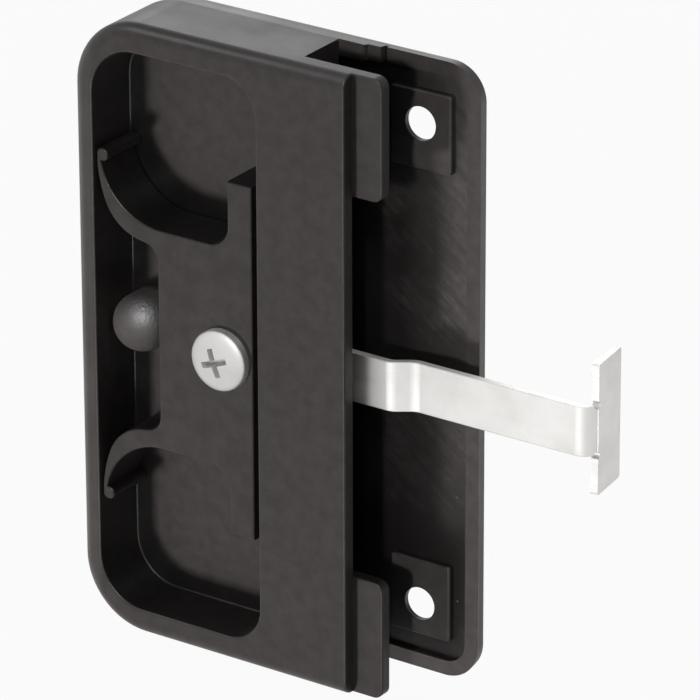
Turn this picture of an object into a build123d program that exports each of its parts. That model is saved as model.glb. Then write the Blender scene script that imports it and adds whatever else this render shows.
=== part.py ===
"""Latch and pull for a sliding screen door, in millimetres.

The origin lies midway between the two mounting holes, on the pads that bear on the door stile.
+X points along the hook, +Y away from the hand and through the stile, +Z up.
Each piece is symmetric about Z = 0, the middle of the latch's travel.
"""
import os
from math import cos, radians, sin

from build123d import *

os.makedirs("parts", exist_ok=True)

# Fixing to the stile
hole_spacing = 76.2
hole_diameter = 5.2
pad_width = 10.4
pad_inner_height = 31.0
pad_outer_height = 43.2
pad_thickness = 0.8
pad_wall = 1.0
stile_gap = 10.1

# Overall outline
height = 97.5
left_reach = 51.6
left_corner_radius = 11.0
plate_reach = 10.5
plate_corner_radius = 6.0

# Front housing
face_setback = 3.7
face_skin = 2.1
face_edge_radius = 2.0
face_end_radius = 0.4
tab_thickness = 1.9
tab_edge_radius = 0.3
tab_reach = 1.4
tab_length = 18.8
tab_corner_radius = 1.6
channel_setback = 13.1
channel_wall = 1.7
parting_setback = 1.5
housing_wall = 2.2

# Finger pocket
pocket_rim = 3.5
pocket_end_rim = 4.2
pocket_width = 29.0
pocket_depth = 9.3
pocket_corner_radius = 7.5
pocket_inner_corner_radius = 5.8
pocket_mouth_radius = 0.4
pocket_floor_radius = 0.3
pocket_wall = 1.6
pocket_floor_thickness = 1.8

# Rear plate
plate_skin = 1.0
plate_draft = 8.0
plate_back_radius = 0.5
pad_rise = 1.2
rim_width = 2.5
pad_edge_radius = 0.4
raised_rim_end = 8.6
rim_step = 2.2
rim_step_setback = 0.7
rim_groove = 0.6
post_shank_diameter = 6.4
post_head_diameter = 9.0
post_head_edge_radius = 0.5
post_head_height = 8.4
post_wall_gap = 0.2
post_body_gap = 1.6

# Latch slide
slide_setback = 0.8
slide_floor_clearance = 0.2
slide_wall_clearance = 0.1
slot_end_clearance = 0.1
bulb_clearance = 0.05
spine_width = 4.3
spine_gap = 1.3
spine_length = 56.0
spine_foot_setback = 2.6
valley_half_height = 17.5
valley_corner_radius = 3.4
arm_inner_radius = 10.8
arm_centre_inset = 0.6
bulb_neck_drop = 0.9
arm_bend_inset = 1.5
arm_bend_height = 19.9
arm_root_inset = 7.2
arm_root_height = 15.2
arm_root_fall = 0.65
bulb_radius = 1.1
bulb_height = 27.1
arm_root_radius = 2.6
slide_edge_radius = 0.35

# Tongue of strip steel with its T-shaped hook
strip_setback = 5.8
strip_thickness = 1.2
strip_width = 7.8
strip_hidden_end = 33.0
jog_start = 0.4
jog_run = 3.0
jog_depth = 2.0
hook_reach = 33.6
hook_lean = 7.0
strip_bend_radius = 2.6
strip_edge_radius = 0.2
hook_neck_length = 2.0
hook_head_length = 7.3
hook_height = 20.4
hook_corner_radius = 0.4
hook_relief_radius = 0.6
strip_clearance = 0.1

# Screw through the slide into the tongue
screw_setback = 25.7
screw_shank_diameter = 4.8
screw_head_diameter = 9.4
screw_head_height = 2.5
screw_rim_height = 1.1
screw_length = 6.8
screw_hole_clearance = 0.05
recess_length = 4.6
recess_width = 1.0
recess_depth = 1.6
recess_taper = 12
recess_turn = 20

# Fits and travel
travel = 8.0
shank_clearance = 0.1
small_edge_radius = 0.5
past = 5.0

# Planes and lines that the pieces share
front_y = -(stile_gap + tab_thickness + face_skin)
parting_y = -parting_setback
half_height = height / 2
plate_back_y = pad_rise + plate_skin
pocket_floor_y = front_y + pocket_depth
housing_back_floor_y = pocket_floor_y + pocket_floor_thickness
pocket_left_x = -left_reach + pocket_rim
pocket_right_x = pocket_left_x + pocket_width
pocket_height = height - 2 * pocket_end_rim
channel_x = -channel_setback
face_right_x = -face_setback
tab_back_y = front_y + face_skin + tab_thickness
slide_front_y = front_y + slide_setback
slide_back_y = pocket_floor_y - slide_floor_clearance
slide_depth = slide_back_y - slide_front_y
dome_radius = post_head_diameter / 2
post_x = pocket_left_x + post_wall_gap + dome_radius
body_left_x = post_x + dome_radius + post_body_gap
spine_right_x = pocket_right_x - spine_gap
spine_left_x = spine_right_x - spine_width
strip_front_y = front_y + strip_setback
strip_back_y = strip_front_y + strip_thickness
slot_height = strip_width + 2 * travel + 2 * slot_end_clearance


def front_facing(y):
    """The X-Z plane at a given Y, whose normal points to the hand."""
    return Plane.XZ.offset(-y)


# Front housing: a moulded tray with the finger pocket in front and a channel for the stile behind
with BuildPart() as front_housing:
    # tabs that reach past the front face and steady the stile
    for side in (1, -1):
        with BuildSketch(front_facing(front_y + face_skin)):
            with Locations((channel_x, side * (half_height - tab_length / 2))):
                Rectangle(tab_reach - channel_x, tab_length, align=(Align.MIN, Align.CENTER))
            fillet(vertices().sort_by(Axis.X)[-2:], radius=tab_corner_radius)
        extrude(amount=-tab_thickness)
    tab_edges = front_housing.edges().filter_by(
        lambda e: abs(e.center().Y - front_y - face_skin) < 0.01 and e.center().X > channel_x + 0.01)
    fillet(tab_edges, radius=tab_edge_radius)
    with BuildSketch(front_facing(front_y)):
        with BuildLine():
            outline = FilletPolyline(
                (face_right_x, half_height),
                (-left_reach, half_height),
                (-left_reach, -half_height),
                (face_right_x, -half_height),
                radius=left_corner_radius,
            )
            Line(outline @ 1, outline @ 0)
        make_face()
    extrude(amount=-(parting_y - front_y))
    # the channel that takes the stile, open to the right and at both ends
    with BuildSketch(front_facing(tab_back_y)):
        with Locations((channel_x, 0)):
            Rectangle(channel_setback, height + past, align=(Align.MIN, Align.CENTER))
    extrude(amount=-stile_gap, mode=Mode.SUBTRACT)
    # between the tabs only the front skin is left
    tab_inner_z = half_height - tab_length
    with BuildSketch(front_facing(front_y + face_skin)):
        with Locations((channel_x, 0)):
            Rectangle(channel_setback, 2 * tab_inner_z, align=(Align.MIN, Align.CENTER))
    extrude(amount=-tab_thickness, mode=Mode.SUBTRACT)
    front_edges = front_housing.edges().filter_by(lambda e: abs(e.center().Y - front_y) < 0.01)
    fillet(front_edges.sort_by(Axis.X)[:-1], radius=face_edge_radius)
    end_edge = front_housing.edges().filter_by(lambda e: abs(e.center().Y - front_y) < 0.01)
    fillet(end_edge.sort_by(Axis.X)[-1], radius=face_end_radius)
    # finger pocket with rounded corners and a rounded floor
    with BuildSketch(front_facing(front_y)):
        with Locations((pocket_left_x, 0)):
            Rectangle(pocket_width, pocket_height, align=(Align.MIN, Align.CENTER))
        fillet(vertices().sort_by(Axis.X)[:2], radius=pocket_corner_radius)
        fillet(vertices().sort_by(Axis.X)[-2:], radius=pocket_inner_corner_radius)
    extrude(amount=-pocket_depth, mode=Mode.SUBTRACT)
    mouth_edges = front_housing.faces().sort_by(Axis.Y)[0].inner_wires()[0].edges()
    fillet(mouth_edges, radius=pocket_mouth_radius)
    floor_edges = front_housing.edges().filter_by(
        lambda e: abs(e.center().Y - pocket_floor_y) < 0.01 and e.center().X < pocket_right_x + 0.01)
    fillet(floor_edges, radius=pocket_floor_radius)
    # shallow recess in the back of the pocket floor
    recess_left_x = -left_reach + housing_wall
    recess_right_x = channel_x - channel_wall
    with BuildSketch(front_facing(parting_y)):
        with Locations((recess_left_x, 0)):
            RectangleRounded(recess_right_x - recess_left_x, height - 2 * rim_width,
                             left_corner_radius - housing_wall, align=(Align.MIN, Align.CENTER))
    extrude(amount=parting_y - housing_back_floor_y, mode=Mode.SUBTRACT)
    # chamber behind the face, between the pocket wall and the wall that ends the channel
    chamber_left_x = pocket_right_x + pocket_wall
    with BuildSketch(front_facing(parting_y)):
        with Locations((chamber_left_x, 0)):
            Rectangle(recess_right_x - chamber_left_x, pocket_height, align=(Align.MIN, Align.CENTER))
    extrude(amount=parting_y - front_y - face_skin, mode=Mode.SUBTRACT)
    # slot in both walls, as long as the tongue needs for its travel
    with BuildSketch(Plane.YZ.offset(pocket_right_x - past)):
        with Locations(((strip_front_y + strip_back_y) / 2, 0)):
            Rectangle(strip_thickness + 2 * strip_clearance, slot_height)
    extrude(amount=channel_x - pocket_right_x + 2 * past, mode=Mode.SUBTRACT)
    # hole for the post of the rear plate
    with BuildSketch(front_facing(pocket_floor_y - past)):
        with Locations((post_x, 0)):
            Circle(post_shank_diameter / 2 + shank_clearance)
    extrude(amount=-2 * past, mode=Mode.SUBTRACT)
front_housing.part.label = "front_housing"

# Rear plate: a thin tray with a rim, two drilled pads and the post that holds the housing
with BuildPart() as rear_plate:
    with BuildSketch(front_facing(parting_y)) as plate_outline:
        with BuildLine():
            FilletPolyline(
                (0, half_height),
                (-left_reach, half_height),
                (-left_reach, -half_height),
                (0, -half_height),
                radius=left_corner_radius,
            )
            FilletPolyline(
                (0, -half_height),
                (plate_reach, -half_height),
                (plate_reach, half_height),
                (0, half_height),
                radius=plate_corner_radius,
            )
        make_face()
    extrude(amount=parting_y - plate_back_y, taper=plate_draft)
    fillet(rear_plate.faces().sort_by(Axis.Y)[-1].outer_wire().edges(), radius=plate_back_radius)
    # hollow inside the rim
    with BuildSketch(front_facing(parting_y)):
        offset(plate_outline.sketch_local, amount=-rim_width)
    extrude(amount=parting_y - pad_rise, mode=Mode.SUBTRACT)
    # the rim steps down to the level of the pads, past a land and a narrow groove
    with BuildSketch(front_facing(parting_y)):
        with Locations((-raised_rim_end, 0)):
            Rectangle(plate_reach + raised_rim_end + past, height + past,
                      align=(Align.MIN, Align.CENTER))
    extrude(amount=parting_y + rim_step_setback, mode=Mode.SUBTRACT)
    with BuildSketch(front_facing(parting_y)):
        with Locations((rim_step - raised_rim_end, 0)):
            Rectangle(plate_reach + raised_rim_end + past, height + past,
                      align=(Align.MIN, Align.CENTER))
    extrude(amount=parting_y, mode=Mode.SUBTRACT)
    with BuildSketch(front_facing(0)):
        with Locations((rim_step - raised_rim_end, 0)):
            Rectangle(rim_groove, height + past, align=(Align.MIN, Align.CENTER))
    extrude(amount=-rim_groove, mode=Mode.SUBTRACT)
    # two pads round the mounting holes
    for side in (1, -1):
        with BuildSketch(front_facing(0)):
            with Locations((0, side * (pad_inner_height + pad_outer_height) / 2)):
                Rectangle(pad_width, pad_outer_height - pad_inner_height)
            fillet(vertices(), radius=small_edge_radius)
        extrude(amount=-pad_rise - plate_skin / 2)
    pad_edges = rear_plate.edges().filter_by(
        lambda e: abs(e.center().Y) < 0.01 and abs(e.center().X) < pad_width / 2 + 0.01
        and pad_inner_height - 0.01 < abs(e.center().Z) < pad_outer_height + 0.01)
    fillet(pad_edges, radius=pad_edge_radius)
    with BuildSketch(front_facing(-past)):
        with GridLocations(0, hole_spacing, 1, 2):
            Circle(hole_diameter / 2)
    extrude(amount=-3 * past, mode=Mode.SUBTRACT)
    # hollow behind each pad, which leaves an even wall
    with BuildSketch(front_facing(plate_back_y)):
        for side in (1, -1):
            with Locations((0, side * (pad_inner_height + pad_outer_height) / 2)):
                Rectangle(pad_width - 2 * pad_wall, pad_outer_height - pad_inner_height - 2 * pad_wall)
        fillet(vertices(), radius=small_edge_radius)
    extrude(amount=plate_back_y - pad_thickness, mode=Mode.SUBTRACT)
    # post through the pocket's floor, with a domed head formed over it
    with BuildSketch(front_facing(pocket_floor_y)):
        with Locations((post_x, 0)):
            Circle(post_shank_diameter / 2)
    extrude(amount=pocket_floor_y - pad_rise)
    dome_y = pocket_floor_y - post_head_height + dome_radius
    with BuildSketch(front_facing(pocket_floor_y)):
        with Locations((post_x, 0)):
            Circle(dome_radius)
    extrude(amount=pocket_floor_y - dome_y)
    head_edges = rear_plate.edges().filter_by(
        lambda e: e.length > 3 * post_head_diameter and abs(e.center().Y - pocket_floor_y) < 0.01)
    fillet(head_edges, radius=post_head_edge_radius)
    with Locations((post_x, dome_y, 0)):
        Sphere(dome_radius)
rear_plate.part.label = "rear_plate"

# Latch slide: the thumb piece, with two springy arms that rub on the pocket's wall
with BuildPart() as latch_slide:
    with BuildSketch(front_facing(slide_front_y)) as slide_outline:
        arm_left_x = pocket_left_x + bulb_clearance
        arm_centre_x = body_left_x + arm_centre_inset
        arm_centre_z = valley_half_height + arm_inner_radius
        arm_tip_z = bulb_height - bulb_neck_drop
        arm_tip_x = arm_centre_x - (arm_inner_radius**2 - (arm_centre_z - arm_tip_z)**2)**0.5
        with BuildLine():
            right_side = Polyline(
                (body_left_x, 0),
                (spine_right_x, 0),
                (spine_right_x, spine_length / 2),
                (spine_left_x, spine_length / 2),
                (spine_left_x, valley_half_height),
                (arm_centre_x, valley_half_height),
            )
            inside = RadiusArc(right_side @ 1, (arm_tip_x, arm_tip_z), arm_inner_radius)
            bulb = ThreePointArc(inside @ 1, (arm_left_x + bulb_radius, bulb_height + bulb_radius),
                                 (arm_left_x, bulb_height))
            outside = TangentArc(
                bulb @ 1, (pocket_left_x + arm_bend_inset, arm_bend_height), tangent=(0, -1))
            under = TangentArc(
                outside @ 1, (pocket_left_x + arm_root_inset, arm_root_height), tangent=outside % 1)
            Polyline(under @ 1, (body_left_x, arm_root_height - arm_root_fall), right_side @ 0)
        make_face()
        corner = vertices().sort_by_distance((spine_left_x, valley_half_height))[0]
        fillet(corner, radius=valley_corner_radius)
        corner = vertices().sort_by_distance((body_left_x, arm_root_height - arm_root_fall))[0]
        fillet(corner, radius=arm_root_radius)
        mirror(about=Plane.XZ)
    extrude(amount=-slide_depth)
    # foot behind the spine, which runs along the pocket's right wall
    with BuildSketch(front_facing(slide_front_y + spine_foot_setback)):
        with Locations((spine_left_x, 0)):
            Rectangle(pocket_right_x - slide_wall_clearance - spine_left_x, spine_length,
                      align=(Align.MIN, Align.CENTER))
    extrude(amount=spine_foot_setback - slide_depth)
    fillet(latch_slide.faces().sort_by(Axis.Y)[0].outer_wire().edges(), radius=slide_edge_radius)
    # socket for the tongue and hole for its screw
    with BuildSketch(front_facing(strip_front_y)):
        with Locations((-strip_hidden_end - strip_clearance, 0)):
            Rectangle(strip_hidden_end + past, strip_width + 2 * strip_clearance,
                      align=(Align.MIN, Align.CENTER))
    extrude(amount=-strip_thickness - strip_clearance, mode=Mode.SUBTRACT)
    with BuildSketch(front_facing(slide_front_y)):
        with Locations((-screw_setback, 0)):
            Circle(screw_shank_diameter / 2 + screw_hole_clearance)
    extrude(amount=-screw_length - screw_hole_clearance, mode=Mode.SUBTRACT)
latch_slide.part.label = "latch_slide"

# Latch tongue: bent strip steel that ends in a T-shaped hook
with BuildPart() as latch_tongue:
    jog_end = jog_start + jog_run
    outer_strip_y = strip_front_y + jog_depth
    hook_length = hook_neck_length + hook_head_length
    lean = radians(hook_lean)
    with BuildSketch(Plane.XY):
        with BuildLine():
            outer_face = FilletPolyline(
                (-strip_hidden_end, strip_front_y),
                (jog_start, strip_front_y),
                (jog_end, outer_strip_y),
                (hook_reach, outer_strip_y),
                (hook_reach - hook_length * sin(lean), outer_strip_y + hook_length * cos(lean)),
                radius=strip_bend_radius,
            )
            offset(outer_face, amount=strip_thickness, side=Side.LEFT)
        make_face()
    extrude(amount=strip_width / 2, both=True)
    side_edges = latch_tongue.edges().filter_by(
        lambda e: abs(abs(e.center().Z) - strip_width / 2) < 0.01 and e.length > strip_thickness + 0.01)
    fillet(side_edges, radius=strip_edge_radius)
    # the wide head, on a plane that leans back with the bent end; its X runs along the hook
    head_plane = Plane(origin=(hook_reach, outer_strip_y, 0), x_dir=(-sin(lean), cos(lean), 0),
                       z_dir=(cos(lean), sin(lean), 0))
    with BuildSketch(head_plane):
        with Locations((hook_neck_length, 0)):
            Rectangle(hook_head_length, hook_height, align=(Align.MIN, Align.CENTER))
        fillet(vertices(), radius=hook_corner_radius)
    extrude(amount=-strip_thickness)
    # round reliefs where the head meets the neck
    with BuildSketch(head_plane):
        with Locations((hook_neck_length, strip_width / 2), (hook_neck_length, -strip_width / 2)):
            Circle(hook_relief_radius)
    extrude(amount=-2 * strip_thickness, both=True, mode=Mode.SUBTRACT)
    with BuildSketch(front_facing(strip_front_y)):
        with Locations((-screw_setback, 0)):
            Circle(screw_shank_diameter / 2)
    extrude(amount=-strip_thickness, mode=Mode.SUBTRACT)
latch_tongue.part.label = "latch_tongue"

# Latch screw: pan head with a cross recess
with BuildPart() as latch_screw:
    with BuildSketch(Plane.XY):
        with BuildLine():
            Polyline(
                (-screw_setback, slide_front_y - screw_head_height),
                (-screw_setback, slide_front_y + screw_length),
                (-screw_setback + screw_shank_diameter / 2, slide_front_y + screw_length),
                (-screw_setback + screw_shank_diameter / 2, slide_front_y),
                (-screw_setback + screw_head_diameter / 2, slide_front_y),
                (-screw_setback + screw_head_diameter / 2, slide_front_y - screw_rim_height),
            )
            EllipticalCenterArc(
                (-screw_setback, slide_front_y - screw_rim_height),
                screw_head_diameter / 2,
                screw_head_height - screw_rim_height,
                start_angle=270,
                arc_size=90,
            )
        make_face()
    revolve(axis=Axis((-screw_setback, 0, 0), (0, 1, 0)))
    with BuildSketch(front_facing(slide_front_y - screw_head_height)):
        with Locations((-screw_setback, 0)):
            Rectangle(recess_length, recess_width, rotation=recess_turn)
            Rectangle(recess_width, recess_length, rotation=recess_turn)
    extrude(amount=-recess_depth, taper=recess_taper, mode=Mode.SUBTRACT)
latch_screw.part.label = "latch_screw"

export_step(front_housing.part, "parts/front_housing.step")
export_step(rear_plate.part, "parts/rear_plate.step")
export_step(latch_slide.part, "parts/latch_slide.step")
export_step(latch_tongue.part, "parts/latch_tongue.step")
export_step(latch_screw.part, "parts/latch_screw.step")
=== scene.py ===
"""Looks of the sliding screen door latch: materials, floor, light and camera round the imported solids.

All of the form is in the solids, so no piece is added here. Lengths are in metres, with X along the hook,
Y away from the hand and Z up.
"""

import bpy
import numpy as np
from mathutils import Matrix, Vector


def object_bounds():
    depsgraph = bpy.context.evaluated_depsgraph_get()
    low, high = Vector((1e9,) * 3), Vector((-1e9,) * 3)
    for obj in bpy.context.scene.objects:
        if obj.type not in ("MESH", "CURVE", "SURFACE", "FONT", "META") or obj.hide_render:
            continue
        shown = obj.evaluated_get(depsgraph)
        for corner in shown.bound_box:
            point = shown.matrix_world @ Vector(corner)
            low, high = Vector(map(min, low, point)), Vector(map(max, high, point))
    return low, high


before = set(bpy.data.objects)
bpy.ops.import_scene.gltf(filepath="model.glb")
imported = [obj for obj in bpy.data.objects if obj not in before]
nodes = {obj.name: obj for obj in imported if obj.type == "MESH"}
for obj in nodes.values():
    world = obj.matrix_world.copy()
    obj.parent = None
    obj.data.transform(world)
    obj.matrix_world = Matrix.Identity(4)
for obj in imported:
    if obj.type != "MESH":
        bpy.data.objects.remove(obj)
solids_box = [list(corner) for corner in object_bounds()]

# Camera, from the photograph's own perspective, with angles in degrees and lens and sensor in millimetres
CAMERA_AIM = (-0.008163, -0.0061, 0.003003)
CAMERA_DISTANCE = 0.9
CAMERA_AZIMUTH = 34.410
CAMERA_ELEVATION = 23.631
CAMERA_ROLL = -0.167
CAMERA_LENS = 319.14
SENSOR_WIDTH = 36.0
CAMERA_NEAR = 0.05
CAMERA_FAR = 20.0

# Colours, linear
BLACK_PLASTIC = (0.0470, 0.0415, 0.0400)
# The paleness of rubs and wear, also used as a painted highlight on the housing's left rim and as painted
# light on the rear plate
BLACK_PLASTIC_WORN_AND_PAINTED_LIGHT = (0.090, 0.082, 0.078)
# Painted shade: the near black laid on the rear plate's recessed inner face
RECESS_PAINTED_SHADE = (0.0100, 0.0088, 0.0084)
DUST = (0.20, 0.19, 0.18)
ZINC = (0.72, 0.71, 0.695)
ZINC_DULL = (0.61, 0.60, 0.585)
FLOOR_WHITE = (0.93, 0.93, 0.93)
WHITE = (1.0, 1.0, 1.0)

# A pattern with a scale is cloudy noise with about that many lumps to the metre. Along makes them more on X,
# Y and Z, or fewer. Shows is the stretch of the noise that shows, and then what its two ends come to where
# they aren't 0 and 1. A value named for an axis, ending in _BY_X or _BY_Z, says the same of places on that
# axis.
EVERY_WAY = (1.0, 1.0, 1.0)

# Satin black plastic
PLASTIC_IOR = 1.46
PLASTIC_SPECULAR = 0.24
ROUGHNESS_CLEAR = 0.44
ROUGHNESS_HANDLED = 0.34
HANDLING = dict(scale=55.0, detail=4.0, shows=(0.42, 0.68, ROUGHNESS_CLEAR, ROUGHNESS_HANDLED))
MOTTLE = dict(scale=420.0, shows=(0.35, 0.70))
MOTTLE_PALES = 0.40
RUBS_UP = dict(scale=260.0, detail=5.0, roughness=0.7, along=(6.0, 1.0, 0.35), shows=(0.66, 0.80))
RUBS_ACROSS = dict(scale=300.0, detail=5.0, roughness=0.7, along=(0.4, 1.0, 7.0), shows=(0.68, 0.82))
RUBS_ROUGHEN = 0.12
GRAIN = dict(scale=2600.0, detail=2.0)
GRAIN_HEIGHT = 0.00003
WAVES = dict(scale=190.0, detail=2.0)
WAVES_STRENGTH = 0.25
WAVES_HEIGHT = 0.00006

# Front housing: the rim on the left of the pocket, paled in patches as wear and as a painted highlight, from
# inside to outside
RIM_WEAR_AND_HIGHLIGHT_X = (-0.0478, -0.0488)
RIM_WEAR_AND_HIGHLIGHT_PATCHES = dict(scale=120.0, detail=4.0, shows=(0.30, 0.62, 0.35, 0.85))

# Rear plate: its inner face, which lies between two depths and is painted near black as shade, and the wipe
# marks on it, with painted light that pales the face toward the right and the top. The wipes are turned by an
# angle in degrees.
RECESS_FRONT_Y = (0.0003, 0.0006)
RECESS_BACK_Y = (0.0016, 0.0013)
WIPES_TURN = -38.0
WIPES = dict(scale=240.0, detail=6.0, roughness=0.75, along=(0.4, 1.0, 4.0), shows=(0.36, 0.72, 0.0, 0.75))
WIPES_BREAK = dict(scale=800.0, shows=(0.30, 0.62, 0.35, 1.0))
WIPED_PATCHES = dict(scale=90.0)
# Painted light: the wipe patches gather toward the right and the top, and a gradient pales the face there,
# where light falls
WIPES_PAINTED_LIGHT_BY_X = (-0.008, 0.004, -0.10, 0.10)
WIPES_PAINTED_LIGHT_BY_Z = (-0.030, 0.006, -0.14, 0.02)
WIPED_PATCHES_SHOW = (0.40, 0.66)
PAINTED_LIGHT_BY_X = (-0.004, 0.009, 0.0, 0.50)
PAINTED_LIGHT_BY_Z = (-0.030, 0.004, 0.20, 1.0)

# Rear plate: dust, in some of about GRIT_SCALE cells to the metre. A speck fades out over a reach from the
# middle of its cell, and the shade of a cell chooses whether it has one.
GRIT_SCALE = 330.0
SPECK_REACH = (0.09, 0.05)
SPECK_CHOICE = (0.50, 0.58)

# Rear plate: the formed head of its post, which is rougher and has a deeper grain
POST_HEAD = (-0.0434, -0.0087, 0.0)
POST_HEAD_REACH = (0.0052, 0.0050)
POST_ROUGHENS = 0.16
POST_DEEPENS_GRAIN = 14.0
PLATE_GRAIN = dict(scale=2300.0)

# Zinc plating
ZINC_CLOUDS = dict(scale=140.0, detail=4.0, shows=(0.38, 0.70))
ZINC_CLOUDS_DULL = 0.55
ZINC_CLOUDS_ROUGHEN = 0.10
ZINC_STREAKS = dict(scale=900.0, detail=4.0, roughness=0.6)
ZINC_ROUGHNESS_BY_STREAK = (0.3, 0.7, 0.46, 0.54)
ZINC_STREAK_HEIGHT = 0.00002
ALONG_THE_STRIP = (0.12, 1.0, 1.6)

# Floor and surroundings
FLOOR_REACH = 3.0
FLOOR_GLOW = 0.95
SURROUNDINGS_MATT_LIGHT = 0.01

# Lamps, by the way to each from what it is aimed at
LAMP_DISTANCE = 0.8
SPOT_SOFT_EDGE = 0.6
POCKET_MIDDLE = (-0.033, -0.010, 0.0)
PLATE_MIDDLE = (0.0, 0.0, 0.0)
LEFT_LOW_FRONT = (-0.355, -0.886, -0.373)
RIGHT_HIGH_FRONT = (0.235, -0.94, 0.226)
ABOVE = (-0.084, 0.137, 1.0)
BEHIND_LEFT = (-0.484, 0.813, 0.300)
RIGHT_HIGH = (0.360, -0.675, 0.643)
RIGHT_LOW_FRONT = (0.397, -0.822, -0.406)
LEFT_LOW = (-0.909, 0.084, -0.401)
LEFT_HIGH_FRONT = (-0.518, -0.378, 0.733)
BEHIND_RIGHT = (0.518, 0.756, -0.401)
LOW_FRONT = (-0.050, -0.975, -0.200)

# The colour sockets of the mix node, by number, since their names are shared with its other sockets
MIX_COLOUR_INPUTS = (6, 7)
MIX_COLOUR_OUTPUT = 2


def fill(tree, socket, value):
    """Links the socket to another node's output, or sets it to a constant."""
    if isinstance(value, bpy.types.NodeSocket):
        tree.links.new(value, socket)
    else:
        socket.default_value = value


def add_node(tree, kind, inputs=None, **settings):
    """A new node in the tree, with its settings, and its inputs by name or number."""
    made = tree.nodes.new(kind)
    for key, value in settings.items():
        setattr(made, key, value)
    for key, value in (inputs or {}).items():
        fill(tree, made.inputs[key], value)
    return made


class Finish:
    """A material under construction: a Principled shader and short ways to add nodes to it."""

    def __init__(self, name):
        self.material = bpy.data.materials.new(name)
        self.material.use_nodes = True
        self.tree = self.material.node_tree
        self.shader = self.tree.nodes["Principled BSDF"]
        self.place = self.node("ShaderNodeTexCoord").outputs["Object"]

    def node(self, kind, inputs=None, **settings):
        return add_node(self.tree, kind, inputs, **settings)

    def axes(self):
        """X, Y and Z of the place on the object."""
        return self.node("ShaderNodeSeparateXYZ", {"Vector": self.place}).outputs

    def between(self, value, low, high, to_low=0.0, to_high=1.0):
        """Value taken from low..high to to_low..to_high, held at the ends."""
        return self.node("ShaderNodeMapRange", {
            "Value": value, "From Min": low, "From Max": high,
            "To Min": to_low, "To Max": to_high}).outputs["Result"]

    def noise(self, scale, detail=3.0, roughness=0.55, along=EVERY_WAY, shows=None, where=None):
        """Cloudy noise at the place on the object, or at another where, as the patterns above are written."""
        where = self.node("ShaderNodeMapping", {
            "Vector": self.place if where is None else where, "Scale": along}).outputs["Vector"]
        clouds = self.node("ShaderNodeTexNoise", {
            "Vector": where, "Scale": scale, "Detail": detail, "Roughness": roughness}).outputs["Fac"]
        return self.between(clouds, *shows) if shows else clouds

    def maths(self, operation, a, b):
        return self.node("ShaderNodeMath", {0: a, 1: b}, operation=operation).outputs["Value"]

    def plus(self, a, b):
        return self.maths("ADD", a, b)

    def times(self, a, b):
        return self.maths("MULTIPLY", a, b)

    def mixed(self, factor, a, b):
        """Colour a where factor is 0, b where it is 1."""
        made = self.node("ShaderNodeMix", {"Factor": factor}, data_type="RGBA")
        for number, colour in zip(MIX_COLOUR_INPUTS, (a, b)):
            fill(self.tree, made.inputs[number], (*colour, 1.0) if isinstance(colour, tuple) else colour)
        return made.outputs[MIX_COLOUR_OUTPUT]

    def bump(self, height, strength, distance, below=None):
        """The normal of a height pattern, on top of the normal below."""
        inputs = {"Height": height, "Strength": strength, "Distance": distance}
        if below is not None:
            inputs["Normal"] = below
        return self.node("ShaderNodeBump", inputs).outputs["Normal"]

    def set(self, **sockets):
        """Fills the shader's own sockets, which are named with _ for each space."""
        for name, value in sockets.items():
            fill(self.tree, self.shader.inputs[name.replace("_", " ")], value)


def satin_black(finish, wear):
    """Colour and roughness of black moulding, paler with mottle and rub marks and smoother where handled."""
    rubs = finish.maths("MAXIMUM", finish.noise(**RUBS_UP), finish.noise(**RUBS_ACROSS))
    pale = finish.plus(finish.times(finish.noise(**MOTTLE), MOTTLE_PALES), finish.times(rubs, wear))
    colour = finish.mixed(finish.maths("MINIMUM", pale, 1.0), BLACK_PLASTIC, BLACK_PLASTIC_WORN_AND_PAINTED_LIGHT)
    roughness = finish.plus(finish.noise(**HANDLING), finish.times(rubs, RUBS_ROUGHEN))
    return colour, roughness


def rim_wear_and_painted_highlight(finish, colour):
    """The colour, paled in patches on the rim at the left of the pocket: wear, and a painted highlight along
    the rim.
    """
    rim = finish.between(finish.axes()["X"], *RIM_WEAR_AND_HIGHLIGHT_X)
    # Wear and a painted highlight: the rim is paled in patches
    return finish.mixed(finish.times(rim, finish.noise(**RIM_WEAR_AND_HIGHLIGHT_PATCHES)), colour, BLACK_PLASTIC_WORN_AND_PAINTED_LIGHT)


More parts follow.
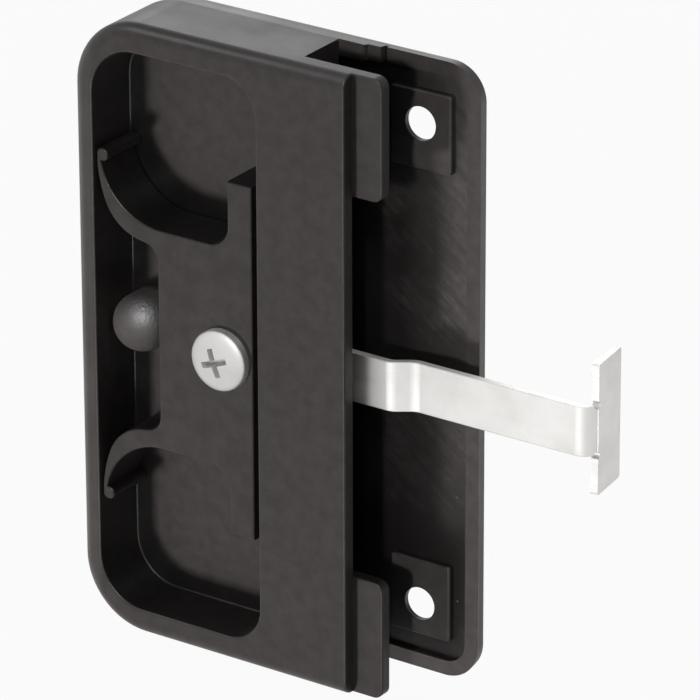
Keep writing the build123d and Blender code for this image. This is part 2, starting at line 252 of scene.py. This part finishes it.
def recess_painted_shade_and_wipes(finish, colour):
    """The colour, painted near black as shade on the rear plate's recessed inner face, with wipe marks,
    painted light paling it toward the right and top, and dust over it.
    """
    across, depth, up = finish.axes()
    recess = finish.times(finish.between(depth, *RECESS_FRONT_Y), finish.between(depth, *RECESS_BACK_Y))
    # Painted shade: the recessed inner face is darkened to near black
    colour = finish.mixed(recess, colour, RECESS_PAINTED_SHADE)

    turned = finish.node("ShaderNodeVectorRotate", {
        "Vector": finish.place, "Angle": np.radians(WIPES_TURN)}, rotation_type="Y_AXIS").outputs["Vector"]
    wipes = finish.times(finish.noise(**WIPES, where=turned), finish.noise(**WIPES_BREAK))
    # Painted light: the wipe patches are laid more toward the right and top and a gradient pales the face
    # there; the wipe marks themselves are the plate's own
    patches = finish.plus(finish.noise(**WIPED_PATCHES), finish.between(across, *WIPES_PAINTED_LIGHT_BY_X))
    patches = finish.plus(patches, finish.between(up, *WIPES_PAINTED_LIGHT_BY_Z))
    smears_and_painted_light = finish.times(wipes, finish.between(patches, *WIPED_PATCHES_SHOW))
    painted_light_gradient = finish.times(finish.between(across, *PAINTED_LIGHT_BY_X), finish.between(up, *PAINTED_LIGHT_BY_Z))
    colour = finish.mixed(finish.times(finish.plus(smears_and_painted_light, painted_light_gradient), recess), colour, BLACK_PLASTIC_WORN_AND_PAINTED_LIGHT)

    grit = finish.node("ShaderNodeTexVoronoi", {"Vector": finish.place, "Scale": GRIT_SCALE}).outputs
    specks = finish.times(finish.between(grit["Distance"], *SPECK_REACH),
                          finish.between(grit["Color"], *SPECK_CHOICE))
    return finish.mixed(finish.times(specks, recess), colour, DUST)


def formed_post(finish, roughness):
    """Roughness and grain of the rear plate, both stronger on the formed head of its post."""
    from_head = finish.node("ShaderNodeVectorMath", {0: finish.place, 1: POST_HEAD}, operation="DISTANCE")
    on_head = finish.between(from_head.outputs["Value"], *POST_HEAD_REACH)
    deeper = finish.plus(finish.times(on_head, POST_DEEPENS_GRAIN), 1.0)
    grain = finish.times(finish.noise(**PLATE_GRAIN), deeper)
    return finish.plus(roughness, finish.times(on_head, POST_ROUGHENS)), grain


def moulded(finish, colour, roughness, grain, grain_strength):
    """The finished plastic, with its grain and the long, shallow waves of a moulded face."""
    fine = finish.bump(grain, grain_strength, GRAIN_HEIGHT)
    waves = finish.bump(finish.noise(**WAVES), WAVES_STRENGTH, WAVES_HEIGHT, below=fine)
    finish.set(Base_Color=colour, Roughness=roughness, Normal=waves,
               IOR=PLASTIC_IOR, Specular_IOR_Level=PLASTIC_SPECULAR)
    return finish.material


def housing_plastic():
    """The front housing's black, with the rim paled in patches as wear and as a painted highlight."""
    finish = Finish("black moulding")
    colour, roughness = satin_black(finish, wear=0.35)
    colour = rim_wear_and_painted_highlight(finish, colour)
    return moulded(finish, colour, roughness, finish.noise(**GRAIN), grain_strength=0.25)


def plate_plastic():
    """The rear plate's black, with painted shade and painted light on its wiped inner face, and the post's
    grainy head.
    """
    finish = Finish("black back moulding")
    colour, roughness = satin_black(finish, wear=0.55)
    colour = recess_painted_shade_and_wipes(finish, colour)
    roughness, grain = formed_post(finish, roughness)
    return moulded(finish, colour, roughness, grain, grain_strength=0.35)


def slide_plastic():
    """The thumb slide's black."""
    finish = Finish("black thumb slide")
    colour, roughness = satin_black(finish, wear=0.45)
    return moulded(finish, colour, roughness, finish.noise(**GRAIN), grain_strength=0.25)


def zinc_plating(name, along, streak_strength):
    """Bright zinc plating over rolled steel: fine streaks along the rolling and faint cloudy dulling."""
    finish = Finish(name)
    streaks = finish.noise(**ZINC_STREAKS, along=along)
    clouds = finish.noise(**ZINC_CLOUDS)
    colour = finish.mixed(finish.times(clouds, ZINC_CLOUDS_DULL), ZINC, ZINC_DULL)
    roughness = finish.plus(finish.between(streaks, *ZINC_ROUGHNESS_BY_STREAK),
                            finish.times(clouds, ZINC_CLOUDS_ROUGHEN))
    finish.set(Base_Color=colour, Metallic=1.0, Roughness=roughness,
               Normal=finish.bump(streaks, streak_strength, ZINC_STREAK_HEIGHT))
    return finish.material


def paint(node, material):
    """Puts one material on the whole of a node."""
    mesh = nodes[node].data
    mesh.materials.clear()
    mesh.materials.append(material)


def seen_by_eye(tree):
    """1 on rays from the camera or from a reflection or glass, 0 on rays that gather matt light."""
    ray = tree.nodes.new("ShaderNodeLightPath").outputs
    seen = ray["Is Camera Ray"]
    for other in ("Is Glossy Ray", "Is Transmission Ray"):
        either = add_node(tree, "ShaderNodeMath", {0: seen, 1: ray[other]}, operation="MAXIMUM")
        seen = either.outputs["Value"]
    return seen


def white_floor():
    """A white floor under the latch, which glows to the eye and keeps a faint shadow."""
    low = min(corner[2] for corner in solids_box)
    mesh = bpy.data.meshes.new("floor")
    mesh.from_pydata([(-FLOOR_REACH, -FLOOR_REACH, low), (FLOOR_REACH, -FLOOR_REACH, low),
                      (FLOOR_REACH, FLOOR_REACH, low), (-FLOOR_REACH, FLOOR_REACH, low)],
                     [], [(0, 1, 2, 3)])
    floor = bpy.data.objects.new("floor", mesh)
    bpy.context.scene.collection.objects.link(floor)
    floor.visible_shadow = False

    material = bpy.data.materials.new("white floor")
    material.use_nodes = True
    tree = material.node_tree
    tree.nodes.clear()
    share = add_node(tree, "ShaderNodeMath", {0: seen_by_eye(tree), 1: FLOOR_GLOW}, operation="MULTIPLY")
    matt = add_node(tree, "ShaderNodeBsdfDiffuse", {"Color": (*FLOOR_WHITE, 1.0)})
    glow = add_node(tree, "ShaderNodeEmission", {"Color": (*WHITE, 1.0), "Strength": 1.0})
    mix = add_node(tree, "ShaderNodeMixShader", {0: share.outputs[0], 1: matt.outputs[0], 2: glow.outputs[0]})
    add_node(tree, "ShaderNodeOutputMaterial", {"Surface": mix.outputs[0]})
    mesh.materials.append(material)


def white_surroundings():
    """White surroundings to the eye and in reflections, which give almost no matt light."""
    world = bpy.data.worlds.new("white surroundings")
    bpy.context.scene.world = world
    world.use_nodes = True
    tree = world.node_tree
    strength = add_node(tree, "ShaderNodeMapRange", {
        "Value": seen_by_eye(tree), "To Min": SURROUNDINGS_MATT_LIGHT, "To Max": 1.0}).outputs["Result"]
    fill(tree, tree.nodes["Background"].inputs["Strength"], strength)
    fill(tree, tree.nodes["Background"].inputs["Color"], (*WHITE, 1.0))


def lamp(name, toward, watts, size, casts, only=(), aim=POCKET_MIDDLE, cone=None):
    """A soft square lamp at LAMP_DISTANCE from its aim, or with a cone in degrees a round spot lamp.

    It casts matt light, highlights or both, on the nodes named in only, or on everything.
    """
    if cone is None:
        data = bpy.data.lights.new(name, "AREA")
        data.shape = "SQUARE"
        data.size = size
    else:
        data = bpy.data.lights.new(name, "SPOT")
        data.spot_size = np.radians(cone)
        data.spot_blend = SPOT_SOFT_EDGE
        data.shadow_soft_size = size / 2
    data.energy = watts
    made = bpy.data.objects.new(name, data)
    toward = Vector(toward).normalized()
    made.location = Vector(aim) + LAMP_DISTANCE * toward
    made.rotation_mode = "QUATERNION"
    made.rotation_quaternion = (-toward).to_track_quat("-Z", "Y")
    made.visible_glossy = casts != "matt"
    made.visible_diffuse = casts != "highlights"
    if only:
        lit = bpy.data.collections.new(name + " lights")
        for piece in only:
            lit.objects.link(nodes[piece])
        made.light_linking.receiver_collection = lit
    bpy.context.scene.collection.objects.link(made)


def camera():
    """The camera, turned by azimuth and elevation round its aim and then by its roll."""
    azimuth, elevation, roll = np.radians([CAMERA_AZIMUTH, CAMERA_ELEVATION, CAMERA_ROLL])
    back = np.array([np.sin(azimuth) * np.cos(elevation), -np.cos(azimuth) * np.cos(elevation),
                     np.sin(elevation)])
    right = np.array([np.cos(azimuth), np.sin(azimuth), 0.0])
    up = np.cross(back, right)
    turned_right = np.cos(roll) * right + np.sin(roll) * up
    turned_up = -np.sin(roll) * right + np.cos(roll) * up
    place = np.array(CAMERA_AIM) + CAMERA_DISTANCE * back
    data = bpy.data.cameras.new("camera")
    data.sensor_width = SENSOR_WIDTH
    data.lens = CAMERA_LENS
    data.clip_start = CAMERA_NEAR
    data.clip_end = CAMERA_FAR
    made = bpy.data.objects.new("camera", data)
    bpy.context.scene.collection.objects.link(made)
    matrix = np.eye(4)
    matrix[:3] = np.column_stack([turned_right, turned_up, back, place])
    made.matrix_world = Matrix(matrix.tolist())
    bpy.context.scene.camera = made


paint("front_housing", housing_plastic())
paint("rear_plate", plate_plastic())
paint("latch_slide", slide_plastic())
paint("latch_tongue", zinc_plating("zinc strip", ALONG_THE_STRIP, streak_strength=0.35))
paint("latch_screw", zinc_plating("zinc screw", EVERY_WAY, streak_strength=0.15))

white_floor()
white_surroundings()

lamp("key lamp", LEFT_LOW_FRONT, watts=5.0, size=0.12, casts="matt")
lamp("plate lamp", RIGHT_HIGH_FRONT, watts=3.2, size=0.06, casts="matt", only=["rear_plate"],
     aim=PLATE_MIDDLE)
lamp("floor lamp", ABOVE, watts=0.8, size=0.30, casts="matt")
lamp("top lamp", ABOVE, watts=2.4, size=0.30, casts="highlights")
lamp("back lamp", BEHIND_LEFT, watts=0.6, size=0.30, casts="both")
lamp("slide lamp", RIGHT_HIGH, watts=7.0, size=0.16, casts="highlights",
     only=["front_housing", "latch_slide"])
lamp("plate edge lamp", RIGHT_HIGH, watts=8.0, size=0.20, casts="highlights", only=["rear_plate"])
lamp("post lamp", RIGHT_HIGH, watts=500.0, size=0.06, casts="highlights", only=["rear_plate"],
     aim=POST_HEAD, cone=3.0)
lamp("edge lamp", RIGHT_LOW_FRONT, watts=3.5, size=0.20, casts="highlights",
     only=["front_housing", "rear_plate"])
lamp("left rim lamp", LEFT_LOW, watts=1.0, size=0.30, casts="highlights", only=["front_housing"])
lamp("top rim lamp", LEFT_HIGH_FRONT, watts=1.8, size=0.30, casts="highlights", only=["front_housing"])
lamp("right rim lamp", BEHIND_RIGHT, watts=2.4, size=0.30, casts="highlights", only=["rear_plate"])
lamp("screw lamp", RIGHT_HIGH, watts=1.6, size=0.20, casts="highlights", only=["latch_screw"])
lamp("metal lamp", LOW_FRONT, watts=1.5, size=0.20, casts="highlights", only=["latch_tongue"],
     aim=PLATE_MIDDLE)

camera()

scene = bpy.context.scene
scene.view_settings.view_transform = "Standard"
